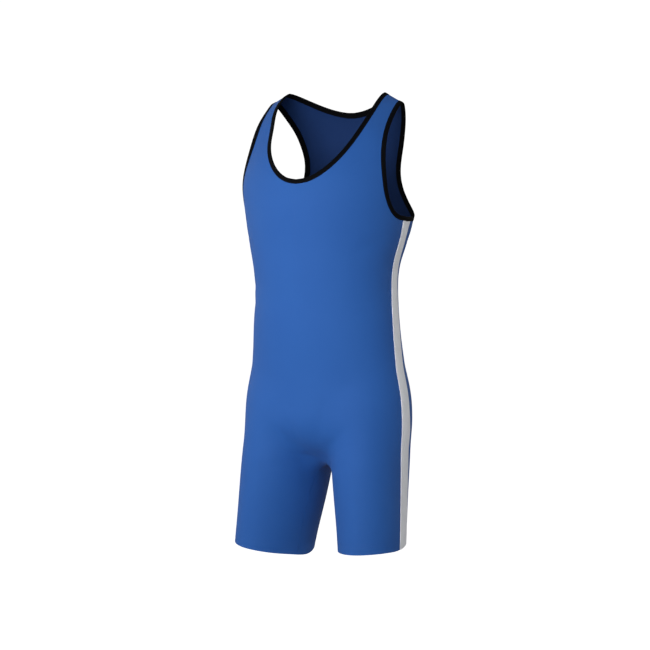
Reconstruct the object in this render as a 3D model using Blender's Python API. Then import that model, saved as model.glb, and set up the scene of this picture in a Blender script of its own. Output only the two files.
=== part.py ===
"""A sleeveless weightlifting singlet, standing open and filled out as when it is worn.

Metres, +Z up. The front faces -Y and the garment's left side is +X. The origin is
midway between the two shoulder straps, on the line where the shoulders carry them.
"""

import math

import bmesh
import bpy
import numpy as np
from mathutils import Vector
from mathutils.kdtree import KDTree

# Cloth
WALL = 0.0015
SEAM_GAP = 0.0003
TAPE_WALL = 0.0010
BINDING_WIDTH = 0.0100
BINDING_PROUD = 0.0005
BINDING_CHAMFER = 0.0008

# The shoulder line slopes down from the neck to the arm
STRAP_INNER_X = 0.1105
STRAP_OUTER_X = 0.1310
STRAP_MIDDLE_X = 0.118
SHOULDER_SLOPE = 0.52
SLOPE_FADES_BY = 0.14
SHOULDER_ROUND = 0.62
FRONT_SHOULDER_REACH = 0.200
BACK_SHOULDER_REACH = 0.130

# Necklines, down from the shoulder line's inner end
FRONT_NECK_DROP = 0.168
BACK_NECK_DROP = 0.042
BACK_NECK_POWER = 1.8

# Squareness of the front's sections: 2 is an ellipse
FRONT_SQUARE = 2.0

UNDERARM_Z = -0.239
FORK_Z = -0.590
HEM_INNER_Z = -0.876
HEM_OUTER_Z = -0.857
# The wearer stands on the right leg, so the left hem sits higher than the right
HEM_STEP = 0.018
HEM_STEP_TOP_Z = -0.700

# The torso closes under the seat, first in depth and then at its sides
SEAT_TOP_Z = -0.592
SIDES_CLOSE_Z = -0.635
SEAT_FLOOR_Z = -0.690
CROTCH_BLEND = 0.034
SIDE_BLEND = 0.030
BLEND_FADES_BY = 0.060
# The legs run up inside the hips and end there in domes
LEG_DOME_TOP_Z = -0.490
LEG_DOME_FOOT_Z = -0.595
TOE_OUT = math.radians(15)

# The seat's curve on the centre plane is read by angles below the front, about this point
SEAT_CENTRE_Y = -0.040
SEAT_CENTRE_Z = -0.590
CROTCH_SEAM_ANGLE = math.radians(84)
INSEAM_ANGLE = math.radians(160)
# Rows that leave the crotch first dip down the inside of the leg
CROTCH_DIP = 0.016
CROTCH_DIP_WITHIN = 0.010

# Below this height the cloth is drawn onto the blend of torso and legs
BLENDED_BELOW_Z = -0.470

COLUMNS = 14
FINE = 90


def spline(xs, ys):
    """A natural cubic through the points, as a function; xs may run up or down."""
    xs, ys = np.asarray(xs, float), np.asarray(ys, float)
    if xs[0] > xs[-1]:
        xs, ys = xs[::-1], ys[::-1]
    count, step = len(xs), np.diff(xs)
    left, right = np.eye(count), np.zeros(count)
    slope = np.diff(ys) / step
    for i in range(1, count - 1):
        left[i, i - 1 : i + 2] = step[i - 1], 2 * (step[i - 1] + step[i]), step[i]
        right[i] = 6 * (slope[i] - slope[i - 1])
    bend = np.linalg.solve(left, right)

    def curve(at):
        at = np.clip(np.asarray(at, float), xs[0], xs[-1])
        i = np.clip(np.searchsorted(xs, at) - 1, 0, count - 2)
        before, after, h = at - xs[i], xs[i + 1] - at, step[i]
        cubic = (bend[i] * after**3 + bend[i + 1] * before**3) / (6 * h)
        start = (ys[i] / h - bend[i] * h / 6) * after
        end = (ys[i + 1] / h - bend[i + 1] * h / 6) * before
        return cubic + start + end

    return curve


def table(names, rows):
    """The columns of a short table, each a smooth curve over the first one."""
    columns = np.array(rows, float).T
    return {name: spline(columns[0], values) for name, values in zip(names.split()[1:], columns[1:])}


TORSO = table(
    "z half_width side_y front back back_square",
    (
        (0.012, 0.1460, -0.002, 0.150, 0.096, 2.60),
        (-0.040, 0.1500, -0.012, 0.150, 0.096, 2.60),
        (-0.080, 0.1580, -0.018, 0.150, 0.097, 2.60),
        (-0.120, 0.1655, -0.022, 0.151, 0.099, 2.60),
        (-0.160, 0.1690, -0.025, 0.151, 0.103, 2.60),
        (-0.200, 0.1680, -0.025, 0.151, 0.106, 2.60),
        (-0.240, 0.1635, -0.025, 0.150, 0.105, 2.55),
        (-0.280, 0.1565, -0.030, 0.142, 0.102, 2.45),
        (-0.320, 0.1480, -0.037, 0.133, 0.094, 2.30),
        (-0.380, 0.1445, -0.044, 0.120, 0.090, 2.15),
        (-0.440, 0.1485, -0.047, 0.113, 0.096, 2.10),
        (-0.490, 0.1525, -0.046, 0.107, 0.111, 2.10),
        (-0.540, 0.1580, -0.045, 0.102, 0.122, 2.10),
        (-0.590, 0.1610, -0.045, 0.100, 0.124, 2.15),
        (-0.640, 0.1620, -0.046, 0.100, 0.120, 2.15),
        (-0.710, 0.1620, -0.047, 0.100, 0.116, 2.15),
    ),
)
LEG = table(
    "z centre_x centre_y half_width half_depth",
    (
        (-0.490, 0.0790, -0.031, 0.0740, 0.0930),
        (-0.590, 0.0820, -0.030, 0.0750, 0.1010),
        (-0.630, 0.0840, -0.031, 0.0760, 0.1040),
        (-0.680, 0.0880, -0.035, 0.0760, 0.1070),
        (-0.717, 0.0912, -0.040, 0.0733, 0.1065),
        (-0.783, 0.0985, -0.051, 0.0684, 0.0990),
        (-0.852, 0.1046, -0.062, 0.0650, 0.0934),
        (-0.890, 0.1074, -0.068, 0.0635, 0.0905),
    ),
)
SIDE_BAND = table(
    "z half_width seam_y",
    (
        (-0.230, 0.0150, -0.0250),
        (-0.390, 0.0140, -0.0440),
        (-0.600, 0.0165, -0.0450),
        (-0.710, 0.0190, -0.0480),
        (-0.875, 0.0220, -0.0600),
    ),
)

# Armholes, shoulder to underarm: angle round the section, 90 at the side line, and height
FRONT_ARMHOLE = (
    (63.4, -0.0065),
    (61.1, -0.030),
    (58.6, -0.058),
    (56.7, -0.088),
    (56.1, -0.116),
    (57.4, -0.142),
    (60.1, -0.170),
    (64.0, -0.197),
    (69.5, -0.219),
    (78.0, -0.233),
    (90.0, UNDERARM_Z),
)
BACK_ARMHOLE = (
    (59.8, -0.0065),
    (53.9, -0.024),
    (46.5, -0.044),
    (39.2, -0.066),
    (33.9, -0.090),
    (30.1, -0.115),
    (28.6, -0.140),
    (29.9, -0.165),
    (35.0, -0.190),
    (44.0, -0.211),
    (57.0, -0.227),
    (72.0, -0.236),
    (90.0, UNDERARM_Z),
)

# Rows of cloth in each zone of a panel, shoulder to hem. neck_share is how far down the
# armhole the row from the bottom of the neckline ends.
FRONT_ROWS = dict(neck=13, arm=5, neck_share=0.74, centre_at_underarm_z=-0.235)
BACK_ROWS = dict(neck=8, arm=12, neck_share=0.42, centre_at_underarm_z=-0.215)
BODY_ROWS = 16
SEAT_ROWS = 9
LEG_ROWS = 8
SIDE_AT_FORK_Z = -0.612
SIDE_AT_CROTCH_Z = -0.708
ROW_EASE = 2.4
# Rows near the underarm sag below it, so that they meet the armhole more squarely
ROW_SAG = 0.016
LEG_ROW_SPREAD = 1.15
SEAT_ROUNDS = 40


def ridge(x):
    """How far the shoulder line at x lies above its own middle."""
    return -SHOULDER_SLOPE * (x - STRAP_MIDDLE_X)


def slope_share(drop):
    return np.clip(1 - drop / SLOPE_FADES_BY, 0, 1) ** 2


def drop_of(x, z):
    """Depth below the sloping shoulder line of a point of the front view."""
    drop = -z
    for _ in range(12):
        drop = np.maximum(slope_share(drop) * ridge(x) - z, 0.0)
    return drop


def squareness(is_front, z):
    return FRONT_SQUARE if is_front else TORSO["back_square"](z)


def torso_point(is_front, angle, drop):
    """A point of the torso's cloth, at an angle round it from the centre line."""
    drop = np.broadcast_to(drop, np.shape(angle))
    square = squareness(is_front, -drop)
    reach = FRONT_SHOULDER_REACH if is_front else BACK_SHOULDER_REACH
    over = np.clip(1 - drop / reach, 0, 1)
    depth = TORSO["front" if is_front else "back"](-drop) * (1 - over**2) ** SHOULDER_ROUND
    out = np.clip(np.sin(angle), 0, 1) ** (2 / square)
    forward = np.clip(np.cos(angle), 0, 1) ** (2 / square)
    x = TORSO["half_width"](-drop) * out
    y = TORSO["side_y"](-drop) + (-depth if is_front else depth) * forward
    return np.stack([x, y, slope_share(drop) * ridge(x) - drop], -1)


def angle_at(is_front, x, drop):
    return np.arcsin(np.clip(x / TORSO["half_width"](-drop), 0, 1) ** (squareness(is_front, -drop) / 2))


def closing(z, top, bottom):
    """Shrinks from 1 at the top to nearly nothing at the bottom, as a dome does."""
    return np.sqrt(1 - np.clip((top - z) / (top - bottom), 0, 0.999) ** 2)


def outside_by(across, along, half_across, half_along, square):
    """How far a point lies outside an oval, measured from the oval's centre."""
    size = np.abs(across / half_across) ** square + np.abs(along / half_along) ** square
    return np.hypot(across, along) * (1 - 1 / np.maximum(size ** (1 / square), 1e-3))


def blended(a, b, width):
    """The nearer of two distances, rounded off where they are alike."""
    share = np.clip(width - np.abs(a - b), 0, None) / width
    return np.minimum(a, b) - share**2 * width / 4


def leg_field(x, y, z):
    """Distance outside the leg on the +X side."""
    dome = closing(-z, -LEG_DOME_FOOT_Z, -LEG_DOME_TOP_Z)
    right, back = x - LEG["centre_x"](z), y - LEG["centre_y"](z)
    across = right * math.cos(TOE_OUT) + back * math.sin(TOE_OUT)
    along = back * math.cos(TOE_OUT) - right * math.sin(TOE_OUT)
    return outside_by(across, along, LEG["half_width"](z) * dome, LEG["half_depth"](z) * dome, 2.0)


def body_field(points):
    """Distance outside the filled-out garment, below the chest."""
    x, y, z = points[..., 0], points[..., 1], points[..., 2]
    back = y - TORSO["side_y"](z)
    is_front = back < 0
    depth = np.where(is_front, TORSO["front"](z), TORSO["back"](z)) * closing(z, SEAT_TOP_Z, SEAT_FLOOR_Z)
    width = TORSO["half_width"](z) * closing(z, SIDES_CLOSE_Z, SEAT_FLOOR_Z)
    square = np.where(is_front, FRONT_SQUARE, TORSO["back_square"](z))
    torso = outside_by(x, back, width, depth, square) + np.clip(SEAT_FLOOR_Z - z, 0, None)
    legs = blended(leg_field(x, y, z), leg_field(-x, y, z), CROTCH_BLEND)
    middle = np.exp(-((x / BLEND_FADES_BY) ** 2))
    return blended(torso, legs, SIDE_BLEND + (CROTCH_BLEND - SIDE_BLEND) * middle)


def on_body(points, free, rounds=12):
    """Points below the chest drawn onto the garment, along the axes that are free."""
    points, reach = points.copy(), 2e-4
    free = free * (points[..., 2:] < BLENDED_BELOW_Z)
    axes = np.eye(3) * reach
    for _ in range(rounds):
        slope = [(body_field(points + e) - body_field(points - e)) / (2 * reach) for e in axes]
        slope = np.stack(slope, -1) * free
        step = body_field(points) / np.maximum((slope**2).sum(-1), 0.05)
        points -= np.clip(step, -0.01, 0.01)[..., None] * slope
    return points


def lengths(points):
    steps = np.linalg.norm(np.diff(points, axis=0), axis=1)
    return np.concatenate([[0.0], np.cumsum(steps)])


def at_shares(points, shares):
    """Points at these shares of the length along a fine line."""
    run = lengths(points)
    return np.stack([np.interp(np.asarray(shares) * run[-1], run, points[:, k]) for k in range(3)], -1)


def neckline(is_front):
    """Angle and drop along the neckline, shoulder to centre."""
    share = np.linspace(0, 1, FINE)
    top = float(ridge(STRAP_INNER_X))
    if is_front:
        x = STRAP_INNER_X * np.cos(share * math.pi / 2)
        z = top - FRONT_NECK_DROP * np.sin(share * math.pi / 2)
    else:
        x = STRAP_INNER_X * (1 - share)
        z = top - BACK_NECK_DROP * (1 - (1 - share) ** BACK_NECK_POWER)
    drop = drop_of(x, z)
    return np.stack([angle_at(is_front, x, drop), drop], -1)


def armhole(is_front):
    """Angle and drop along the armhole, shoulder to underarm."""
    angle, z = np.array(FRONT_ARMHOLE if is_front else BACK_ARMHOLE).T
    angle = np.radians(angle)
    angle[0], z[0] = angle_at(is_front, STRAP_OUTER_X, 0.0), ridge(STRAP_OUTER_X)
    place = lengths(np.stack([angle * 0.15, z], -1))
    share = np.linspace(0, place[-1], FINE)
    angle, z = spline(place, angle)(share), spline(place, z)(share)
    x = TORSO["half_width"](z) * np.sin(angle) ** (2 / squareness(is_front, z))
    return np.stack([np.minimum(angle, math.pi / 2), drop_of(x, z)], -1)


def along(is_front, edge, share):
    """Angle and drop at a share of the real length of an edge."""
    run = lengths(torso_point(is_front, edge[:, 0], edge[:, 1]))
    return [np.interp(share * run[-1], run, edge[:, k]) for k in range(2)]


def seat_points(angles):
    """Points of the seat's curve on the centre plane, at angles below the front."""
    towards = np.stack([0 * angles, -np.cos(angles), -np.sin(angles)], -1)
    centre = np.array([0.0, SEAT_CENTRE_Y, SEAT_CENTRE_Z])
    near, far = np.full(len(angles), 0.01), np.full(len(angles), 0.25)
    for _ in range(40):
        middle = (near + far) / 2
        inside = body_field(centre + towards * middle[:, None]) < 0
        near, far = np.where(inside, middle, near), np.where(inside, far, middle)
    return centre + towards * near[:, None]


def torso_row(inner, outer, ease, sag):
    """A fine line across half the torso, as angles and drops."""
    share = np.linspace(0, 1, FINE)
    angle = inner[0] + (outer[0] - inner[0]) * share
    drop = inner[1] + (outer[1] - inner[1]) * (1 - (1 - share) ** ease)
    return np.stack([angle, drop + sag * 9.5 * share**3 * (1 - share)], -1)


def yoke_rows(is_front, count):
    """Rows that end on the armhole: first from the neckline, then from the centre line."""
    neck, arm = neckline(is_front), armhole(is_front)
    neck_drop, centre_drop = along(is_front, neck, 1.0)[1], -count["centre_at_underarm_z"]
    rows = []
    for share in np.linspace(0, 1, count["neck"] + 1):
        outer = along(is_front, arm, share * count["neck_share"])
        rows.append(torso_row(along(is_front, neck, share), outer, ROW_EASE, 0.0))
    for share in np.linspace(0, 1, count["arm"] + 1)[1:]:
        outer = along(is_front, arm, count["neck_share"] + (1 - count["neck_share"]) * share)
        inner = (0.0, neck_drop + (centre_drop - neck_drop) * share)
        rows.append(torso_row(inner, outer, ROW_EASE, ROW_SAG * share**2))
    return rows


def body_rows(count):
    rows, top = [], count["centre_at_underarm_z"]
    for share in np.linspace(0, 1, BODY_ROWS + 1)[1:]:
        inner = (0.0, -(top + (FORK_Z - top) * share))
        outer = (math.pi / 2, -(UNDERARM_Z + (SIDE_AT_FORK_Z - UNDERARM_Z) * share))
        rows.append(torso_row(inner, outer, ROW_EASE + (1 - ROW_EASE) * share, ROW_SAG * (1 - share) ** 2))
    return rows


def lower_row(is_front, inner, inner_z, outer_z, dip):
    """A fine line round the left leg to the side seam, from a crotch point or the inseam."""
    axis_x, axis_y = LEG["centre_x"](inner_z), LEG["centre_y"](inner_z)
    side = math.atan2(axis_y - SIDE_BAND["seam_y"](outer_z), 0.08)
    start, start_x = INSEAM_ANGLE, 0.010
    if inner is not None:
        start, start_x = math.atan2(axis_y - inner[1], -axis_x) % (2 * math.pi), 0.0
    angle = np.linspace(start, side if is_front else side + 2 * math.pi, FINE)[:, None]

    def at(radius):
        x = axis_x + radius * np.cos(angle)
        y = axis_y - radius * np.sin(angle)
        share = np.clip((x - start_x) / 0.155, 0, 1)
        falls = 1 - np.exp(-np.clip(x - start_x, 0, None) / CROTCH_DIP_WITHIN)
        return np.stack([x, y, inner_z + (outer_z - inner_z) * share - dip * falls * (1 - share) ** 2], -1)

    # The first place outward along each ray that is outside, short of the centre plane
    reach = np.where(np.cos(angle) < 0, np.minimum(axis_x / np.maximum(-np.cos(angle), 0.01), 0.2), 0.2)
    steps = 0.03 + (reach - 0.03) * np.linspace(0, 1, 80)
    outside = body_field(at(steps)) > 0
    first = np.where(outside.any(1), outside.argmax(1), 79)[:, None]
    near, far = (np.take_along_axis(steps, np.maximum(first - k, 0), 1) for k in (1, 0))
    for _ in range(20):
        middle = (near + far) / 2
        inside = body_field(at(middle)) < 0
        near, far = np.where(inside, middle, near), np.where(inside, far, middle)
    row = at(near)[:, 0]
    if inner is not None:
        row[0] = inner
    return row


def seat_rows(is_front):
    """Rows that turn from round the hips to round the leg, from the fork to the crotch."""
    shares = np.linspace(0, 1, SEAT_ROWS + 1)[1:]
    start = 0.0 if is_front else math.pi
    rows = []
    for share, inner in zip(shares, seat_points(start + (CROTCH_SEAM_ANGLE - start) * shares)):
        outer_z = SIDE_AT_FORK_Z + (SIDE_AT_CROTCH_Z - SIDE_AT_FORK_Z) * share
        rows.append(lower_row(is_front, inner, inner[2], outer_z, CROTCH_DIP * share**2))
    return rows


def leg_rows(is_front, crotch_z):
    rows = []
    for share in (np.arange(1, LEG_ROWS + 1) / LEG_ROWS) ** LEG_ROW_SPREAD:
        inner_z = crotch_z + (HEM_INNER_Z - crotch_z) * share
        outer_z = SIDE_AT_CROTCH_Z + (HEM_OUTER_Z - SIDE_AT_CROTCH_Z) * share
        rows.append(lower_row(is_front, None, inner_z, outer_z, CROTCH_DIP * (1 - share) ** 2))
    return rows


def column_shares(row, band_share):
    """Where the columns lie along a row: the last three edge the side band."""
    even = np.linspace(0, 1, COLUMNS + 1)
    band = SIDE_BAND["half_width"](row[-1, 2]) / lengths(row)[-1]
    banded = np.concatenate([np.linspace(0, 1 - band, COLUMNS - 1), [1 - band / 2, 1.0]])
    return even + (banded - even) * band_share


def evened(grid, moves, free):
    """A grid whose points that move are drawn to the middle of their neighbours."""
    for _ in range(SEAT_ROUNDS):
        beside = np.roll(grid, -1, 1)
        beside += np.concatenate([mirrored(grid[:, 1:2]), grid[:, :-1]], 1)
        around = np.roll(grid, 1, 0) + np.roll(grid, -1, 0)
        grid = grid + ((beside + around) / 4 - grid) * 0.6 * moves
        grid = on_body(grid, free, 2)
    return grid


def torso_grid(is_front, count):
    """The left half of a panel from the shoulder to the fork."""
    fine = yoke_rows(is_front, count) + body_rows(count)
    side = count["neck"] + count["arm"]
    grid = []
    for i, row in enumerate(fine):
        points = torso_point(is_front, row[:, 0], row[:, 1])
        run = lengths(points)
        at = column_shares(points, min(i / side, 1)) * run[-1]
        grid.append(np.stack([np.interp(at, run, row[:, k]) for k in range(2)], -1))
    grid = np.array(grid)
    return torso_point(is_front, grid[..., 0], grid[..., 1])


def panel_grid(is_front):
    """Rows by columns of the left half of a panel, and the first row of each zone."""
    count = FRONT_ROWS if is_front else BACK_ROWS
    upper = torso_grid(is_front, count)
    fork = len(upper) - 1
    inseam = fork + SEAT_ROWS
    lower = seat_rows(is_front)
    lower += leg_rows(is_front, lower[-1][0, 2])
    grid = np.concatenate([upper, [at_shares(row, column_shares(row, 1)) for row in lower]])

    # Torso rows and both ends of the leg rows keep their height, and the centre line keeps to x = 0
    free = np.ones_like(grid)
    free[: fork + 1, :, 2] = free[-1, :, 2] = free[inseam + 1 :, [0, -1], 2] = 0
    free[: inseam + 1, 0, 0] = 0
    free[inseam, 0] = 0
    grid = on_body(grid, free)
    # The mesh between the hips and the legs is evened out
    moves = np.zeros_like(grid)
    moves[fork - 4 : inseam + 4, 1:-3] = moves[fork - 4 : inseam, 0] = 1
    grid = evened(grid, moves, free)
    return grid, dict(centre=count["neck"], side=count["neck"] + count["arm"], inseam=inseam)


def mirrored(points):
    return points * np.array([-1.0, 1.0, 1.0])


def sheet_of(is_front, grid, zones):
    """Both halves of a panel as one sheet of points and quads facing out."""
    rows, columns = grid.shape[:2]
    points, index = [], np.zeros((2, rows, columns), int)
    for half in range(2):
        for i in range(rows):
            for j in range(columns):
                if half == 1 and j == 0 and zones["centre"] <= i <= zones["inseam"]:
                    index[half, i, j] = index[0, i, j]
                    continue
                index[half, i, j] = len(points)
                points.append(grid[i, j] if half == 0 else mirrored(grid[i, j]))
    faces = []
    for half in range(2):
        for i in range(rows - 1):
            for j in range(columns - 1):
                corners = [(i, j), (i + 1, j), (i + 1, j + 1), (i, j + 1)]
                corners = corners if (half == 0) == is_front else corners[::-1]
                faces.append([int(index[half][c]) for c in corners])
    return np.array(points), faces


def shared_normals(sheets):
    """Looks up the outward normal of the whole garment at a panel's point."""
    bm = bmesh.new()
    for points, faces in sheets:
        verts = [bm.verts.new(p) for p in points]
        for face in faces:
            bm.faces.new([verts[k] for k in face])
    bmesh.ops.remove_doubles(bm, verts=bm.verts[:], dist=1e-6)
    bm.normal_update()
    tree = KDTree(len(bm.verts))
    for k, vert in enumerate(bm.verts):
        tree.insert(vert.co, k)
    tree.balance()
    normals = np.array([vert.normal for vert in bm.verts])
    bm.free()
    return lambda points: np.array([normals[tree.find(Vector(p))[1]] for p in points])


def in_stance(points):
    """The points with the left leg's drawn up and the right leg's let down."""
    share = np.clip((HEM_STEP_TOP_Z - points[:, 2]) / (HEM_STEP_TOP_Z - HEM_INNER_Z), 0, 1)
    moved = points.copy()
    moved[:, 2] += np.sign(points[:, 0]) * share * HEM_STEP / 2
    return moved


def make_object(name, points, faces, material):
    """A closed solid from points and faces, its faces turned outwards."""
    bm = bmesh.new()
    verts = [bm.verts.new(p) for p in in_stance(points)]
    for face in faces:
        bm.faces.new([verts[k] for k in face])
    bmesh.ops.recalc_face_normals(bm, faces=bm.faces[:])
    mesh = bpy.data.meshes.new(name)
    bm.to_mesh(mesh)
    bm.free()
    mesh.shade_smooth()
    mesh.set_sharp_from_angle(angle=math.radians(50))
    mesh.materials.append(material)
    obj = bpy.data.objects.new(name, mesh)
    bpy.context.scene.collection.objects.link(obj)


def walled(outer, inner, faces):
    """The points and faces of a wall between two like sheets, closed round its edge."""
    count, used = len(outer), set()
    for face in faces:
        used.update(zip(face, face[1:] + face[:1]))
    rim = [[a + count, b + count, b, a] for a, b in sorted(used) if (b, a) not in used]
    back = [[k + count for k in face[::-1]] for face in faces]
    return np.concatenate([outer, inner]), faces + back + rim


def pulled(edge, neighbour):
    """An edge drawn back into its cloth by half a seam gap."""
    towards = neighbour - edge
    return edge + towards / np.linalg.norm(towards, axis=-1, keepdims=True) * SEAM_GAP / 2


def drawn_in(grid, zones):
    """The half panel with the edges that are sewn to the other panel drawn back."""
    side, inseam = zones["side"], zones["inseam"]
    trimmed = grid.copy()
    trimmed[0] = pulled(grid[0], grid[1])
    trimmed[side:, -1] = pulled(grid[side:, -1], grid[side:, -2])
    trimmed[inseam + 1 :, 0] = pulled(grid[inseam + 1 :, 0], grid[inseam + 1 :, 1])
    trimmed[inseam, 0] = pulled(grid[inseam, 0], grid[inseam - 1, 0])
    return trimmed


def make_panel(name, is_front, grid, zones, normals_at, material):
    points, faces = sheet_of(is_front, grid, zones)
    trimmed, _ = sheet_of(is_front, drawn_in(grid, zones), zones)
    make_object(name, *walled(trimmed, trimmed - normals_at(points) * WALL, faces), material)


def make_binding(name, edge, inward, normals, material):
    """A closed ring of folded tape that carries on from a panel's raw edge."""
    outward = np.cross(np.roll(edge, -1, 0) - np.roll(edge, 1, 0), normals)
    outward /= np.linalg.norm(outward, axis=1, keepdims=True)
    outward *= -np.sign((outward * inward).sum())
    top, bottom, corner = BINDING_PROUD, -(WALL + BINDING_PROUD), BINDING_CHAMFER
    near, far = SEAM_GAP, SEAM_GAP + BINDING_WIDTH
    profile = (
        (near, bottom + corner),
        (near, top - corner),
        (near + corner, top),
        (far - corner, top),
        (far, top - corner),
        (far, bottom + corner),
        (far - corner, bottom),
        (near + corner, bottom),
    )
    sides, count = len(profile), len(edge)
    points = np.concatenate([edge + outward * away + normals * up for away, up in profile])
    faces = []
    for side in range(sides):
        this, beside = side * count, (side + 1) % sides * count
        for k in range(count):
            after = (k + 1) % count
            faces.append([this + k, this + after, beside + after, beside + k])
    make_object(name, points, faces, material)


def make_side_band(name, strip, normals_at, material):
    """The contrast tape laid over the side seam, underarm to hem."""
    rows, columns = strip.shape[:2]
    points = strip.reshape(-1, 3)
    normals = normals_at(points)
    lowered = points.copy()
    down = strip[1] - strip[0]
    lowered[:columns] += down / np.linalg.norm(down, axis=1, keepdims=True) * SEAM_GAP
    faces = []
    for i in range(rows - 1):
        for k in range(i * columns, i * columns + columns - 1):
            faces.append([k, k + columns, k + columns + 1, k + 1])
    inner, outer = lowered + normals * SEAM_GAP, lowered + normals * (SEAM_GAP + TAPE_WALL)
    make_object(name, *walled(outer, inner, faces), material)


def cloth_material(name, colour, roughness):
    material = bpy.data.materials.new(name)
    material.use_nodes = True
    shader = material.node_tree.nodes["Principled BSDF"]
    shader.inputs["Base Color"].default_value = (*colour, 1.0)
    shader.inputs["Roughness"].default_value = roughness
    shader.inputs["Metallic"].default_value = 0.0
    return material


def main():
    for obj in list(bpy.data.objects):
        bpy.data.objects.remove(obj)
    blue = cloth_material("blue_jersey", (0.030, 0.115, 0.380), 0.55)
    black = cloth_material("black_binding", (0.008, 0.008, 0.010), 0.65)
    white = cloth_material("white_tape", (0.780, 0.800, 0.860), 0.60)

    front, front_zones = panel_grid(True)
    back, back_zones = panel_grid(False)
    # The two panels share their sewn edges
    back[0] = front[0]
    back[back_zones["side"] :, -1] = front[front_zones["side"] :, -1]
    back[back_zones["inseam"] :, 0] = front[front_zones["inseam"] :, 0]

    normals_at = shared_normals([sheet_of(True, front, front_zones), sheet_of(False, back, back_zones)])
    make_panel("front_panel", True, front, front_zones, normals_at, blue)
    make_panel("back_panel", False, back, back_zones, normals_at, blue)

    edge, cloth = [], []
    for column, ring in ((0, edge), (1, cloth)):
        left_front = front[: front_zones["centre"] + 1, column]
        left_back = back[: back_zones["centre"] + 1, column]
        ring += [left_front, mirrored(left_front)[-2::-1], mirrored(left_back)[1:], left_back[-2:0:-1]]
    edge, cloth = np.concatenate(edge), np.concatenate(cloth)
    make_binding("neck_binding", edge, cloth - edge, normals_at(edge), black)

    side_front, side_back = front_zones["side"], back_zones["side"]
    edge = np.concatenate([front[: side_front + 1, -1], back[side_back - 1 : 0 : -1, -1]])
    cloth = np.concatenate([front[: side_front + 1, -2], back[side_back - 1 : 0 : -1, -2]])
    strip = np.concatenate([front[side_front:, -3:], back[side_back:, -2:-4:-1]], 1)
    for name, turn in (("left", np.array), ("right", mirrored)):
        normals = normals_at(turn(edge))
        make_binding(f"armhole_binding_{name}", turn(edge), turn(cloth - edge), normals, black)
        make_side_band(f"side_band_{name}", turn(strip), normals_at, white)


main()
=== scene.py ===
"""The looks of a sleeveless weightlifting singlet that stands open, filled out as when it is worn.

Metres, +Z up. The front faces -Y and the garment's left side is +X.
"""

import math

import bpy
import numpy as np
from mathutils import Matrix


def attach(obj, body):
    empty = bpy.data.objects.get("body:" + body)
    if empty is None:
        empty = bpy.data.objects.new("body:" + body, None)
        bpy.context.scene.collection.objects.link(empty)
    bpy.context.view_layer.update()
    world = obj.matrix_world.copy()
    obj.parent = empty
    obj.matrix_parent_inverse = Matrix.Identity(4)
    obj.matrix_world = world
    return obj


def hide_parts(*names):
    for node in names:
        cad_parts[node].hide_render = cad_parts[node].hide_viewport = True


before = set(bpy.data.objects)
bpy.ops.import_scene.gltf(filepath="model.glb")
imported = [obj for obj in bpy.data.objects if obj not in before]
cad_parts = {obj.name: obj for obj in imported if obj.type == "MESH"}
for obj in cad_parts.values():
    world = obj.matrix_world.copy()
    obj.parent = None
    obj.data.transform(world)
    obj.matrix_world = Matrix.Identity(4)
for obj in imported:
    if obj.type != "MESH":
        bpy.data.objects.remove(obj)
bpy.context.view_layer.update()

# The two jersey panels. Front and back are each cut in one piece from the straps to the thigh hems, from
# a stretch warp knit, and sewn to each other at the shoulders, the sides and the insides of the legs.
# The worn form comes from tables of sections: the torso's, and the two legs' that blend into it.
JERSEY_THICK = 0.0013
CLOTH_CARRIES_ON = 0.0022
SEAM_GAP = 0.0003

STRAP_INNER_X = 0.1105
STRAP_OUTER_X = 0.1310
STRAP_MIDDLE_X = 0.118
SHOULDER_SLOPE = 0.52
SLOPE_FADES_BY = 0.14
SHOULDER_ROUND = 0.62
FRONT_SHOULDER_REACH = 0.200
BACK_SHOULDER_REACH = 0.130
FRONT_NECK_DROP = 0.168
BACK_NECK_DROP = 0.042
BACK_NECK_POWER = 1.8
FRONT_SQUARE = 2.0

UNDERARM_Z = -0.239
FORK_Z = -0.590
HEM_INNER_Z = -0.876
HEM_OUTER_Z = -0.857
HEM_STEP = 0.018
HEM_STEP_TOP_Z = -0.700

SEAT_TOP_Z = -0.592
SIDES_CLOSE_Z = -0.635
SEAT_FLOOR_Z = -0.690
CROTCH_BLEND = 0.034
SIDE_BLEND = 0.030
BLEND_FADES_BY = 0.060
LEG_DOME_TOP_Z = -0.490
LEG_DOME_FOOT_Z = -0.595
TOE_OUT = math.radians(15)
SEAT_CENTRE = (0.0, -0.040, -0.590)
CROTCH_SEAM_ANGLE = math.radians(84)
INSEAM_ANGLE = math.radians(160)
CROTCH_DIP = 0.016
CROTCH_DIP_WITHIN = 0.010
BLENDED_BELOW_Z = -0.470

COLUMNS = 14
FINE = 90
FRONT_ROWS = dict(neck=13, arm=5, neck_share=0.74, centre_at_underarm_z=-0.235)
BACK_ROWS = dict(neck=8, arm=12, neck_share=0.42, centre_at_underarm_z=-0.215)
BODY_ROWS = 16
SEAT_ROWS = 9
LEG_ROWS = 8
SIDE_AT_FORK_Z = -0.612
SIDE_AT_CROTCH_Z = -0.708
ROW_EASE = 2.4
ROW_SAG = 0.016
LEG_ROW_SPREAD = 1.15
LEG_ROW_CLIMBS_WITHIN = 0.155
INSEAM_X = 0.010
CHEST_RADIUS = 0.15
LEG_RADIUS = 0.08
# The fine points come from their angles down to this many rows above the fork
ANGLES_END = 6
# The seat is evened together with this many rows above and below it
EVENED_BESIDE = 4
# Each square of the sections' mesh is split this many ways
PARTS = 4

# How often the cloth is drawn even at each place, and how far it goes each time
SEAT_ROUNDS, SEAT_MOVE = 40, 0.6
UNDERARM_ROUNDS = 80
CROTCH_ROUNDS, CROTCH_MOVE = 30, 0.8
FLANK_ROUNDS, FLANK_MOVE = 60, 0.8
ARCH_ROUNDS, ARCH_MOVE = 60, 0.9
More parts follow.
